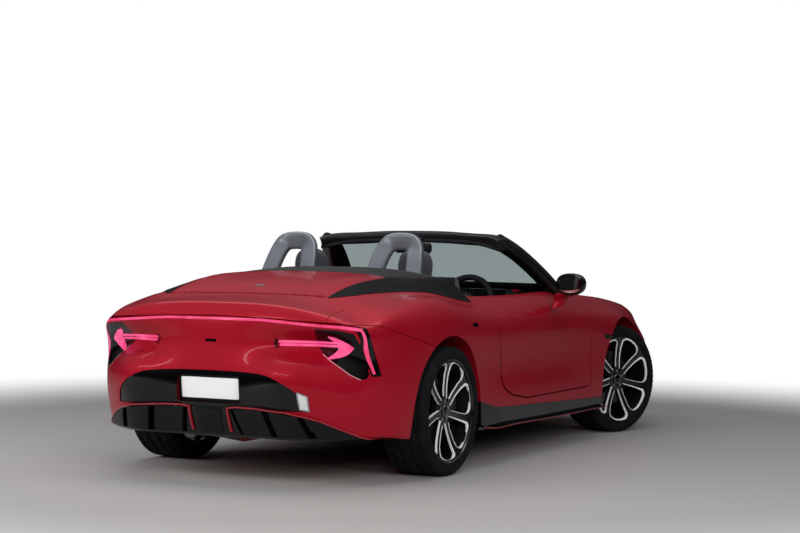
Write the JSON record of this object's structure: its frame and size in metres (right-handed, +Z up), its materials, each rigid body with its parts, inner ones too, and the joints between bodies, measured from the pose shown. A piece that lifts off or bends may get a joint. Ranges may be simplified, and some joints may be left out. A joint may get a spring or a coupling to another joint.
{
  "type": "roadster convertible",
  "caption": "Low two-seat open roadster with upward-opening doors, ducktail with a full-width light bar, arrow-shaped tail lamps and steered front wheels.",
  "frame": {"origin": "on the ground under the middle of the car's length and width", "axes": "+X forward, +Y to the car's left, +Z up"},
  "size_m": [4.5297, 2.224, 1.3089],
  "materials": {
    "paint": "gloss",
    "black_gloss": "gloss",
    "black_matte": "matte",
    "tyre": "matte",
    "alloy": "satin",
    "iron": "satin",
    "steel": "satin",
    "glass": "gloss",
    "leather": "satin",
    "red_lamp": "gloss",
    "clear_lamp": "gloss",
    "silver": "satin",
    "white": "satin"
  },
  "bodies": {
    "body": {"body_tub": "black_matte", "side_skirts": "black_gloss", "rear_tub": "black_matte", "quarter_left": "paint", "quarter_right": "paint", "cowl": "black_matte", "fender_left": "paint", "fender_right": "paint", "rear_bumper": "paint", "tail_lip": "paint", "diffuser": "black_gloss", "front_bumper": "paint", "tail_lamps": "red_lamp", "lamp_panels": "black_gloss", "lower_panel": "black_gloss", "headlamps": "clear_lamp", "grille": "black_gloss", "tonneau": "black_gloss", "front_suspension": "steel", "rear_suspension": "steel", "drive_unit": "alloy", "battery_pack": "alloy", "windscreen_frame": "black_gloss", "windscreen_glass": "glass", "dashboard": "leather", "centre_console": "black_gloss", "seat_left": "leather", "seat_right": "leather", "steering_wheel": "leather", "roll_hoops": "silver", "number_plate": "white"},
    "knuckle_fl": {"knuckle_fl": "steel"},
    "knuckle_fr": {"knuckle_fr": "steel"},
    "wheel_fl": {"tyre_fl": "tyre", "rim_fl": "alloy", "disc_fl": "iron"},
    "wheel_fr": {"tyre_fr": "tyre", "rim_fr": "alloy", "disc_fr": "iron"},
    "wheel_rl": {"tyre_rl": "tyre", "rim_rl": "alloy", "disc_rl": "iron"},
    "wheel_rr": {"tyre_rr": "tyre", "rim_rr": "alloy", "disc_rr": "iron"},
    "door_left": {"door_left": "paint", "mirror_left": "black_gloss"},
    "door_right": {"door_right": "paint", "mirror_right": "black_gloss"},
    "bonnet": {"bonnet": "paint"},
    "boot_lid": {"boot_lid": "paint"}
  },
  "joints": [
    {"name": "steer_left", "type": "hinge", "parent": "body", "child": "knuckle_fl", "pos_m": [1.405, 0.736, 0.351], "axis": [0, 0, 1], "range_deg": [-15, 55]},
    {"name": "steer_right", "type": "hinge", "parent": "body", "child": "knuckle_fr", "pos_m": [1.405, -0.736, 0.351], "axis": [0, 0, 1], "range_deg": [-15, 55]},
    {"name": "spin_front_left", "type": "hinge", "parent": "knuckle_fl", "child": "wheel_fl", "pos_m": [1.4262, 0.79426, 0.351], "axis": [0.342, 0.9397, 0], "continuous": true},
    {"name": "spin_front_right", "type": "hinge", "parent": "knuckle_fr", "child": "wheel_fr", "pos_m": [1.3838, -0.79426, 0.351], "axis": [0.342, 0.9397, 0], "continuous": true},
    {"name": "spin_rear_left", "type": "hinge", "parent": "body", "child": "wheel_rl", "pos_m": [-1.285, 0.808, 0.351], "axis": [0, 1, 0], "continuous": true},
    {"name": "spin_rear_right", "type": "hinge", "parent": "body", "child": "wheel_rr", "pos_m": [-1.285, -0.808, 0.351], "axis": [0, 1, 0], "continuous": true},
    {"name": "door_left_open", "type": "hinge", "parent": "body", "child": "door_left", "pos_m": [0.745, 0.77, 0.893], "axis": [0, 0.9285, -0.3714], "range_deg": [0, 62]},
    {"name": "door_right_open", "type": "hinge", "parent": "body", "child": "door_right", "pos_m": [0.745, -0.77, 0.893], "axis": [0, 0.9285, 0.3714], "range_deg": [0, 62]},
    {"name": "bonnet_open", "type": "hinge", "parent": "body", "child": "bonnet", "pos_m": [0.83, 0, 0.88], "axis": [0, -1, 0], "range_deg": [0, 50]},
    {"name": "boot_lid_open", "type": "hinge", "parent": "body", "child": "boot_lid", "pos_m": [-1.348, 0, 1.032], "axis": [0, 1, 0], "range_deg": [0, 60]}
  ],
  "couplings": [
    {"joint": "steer_right", "follows": "steer_left", "ratio": 1}
  ]
}
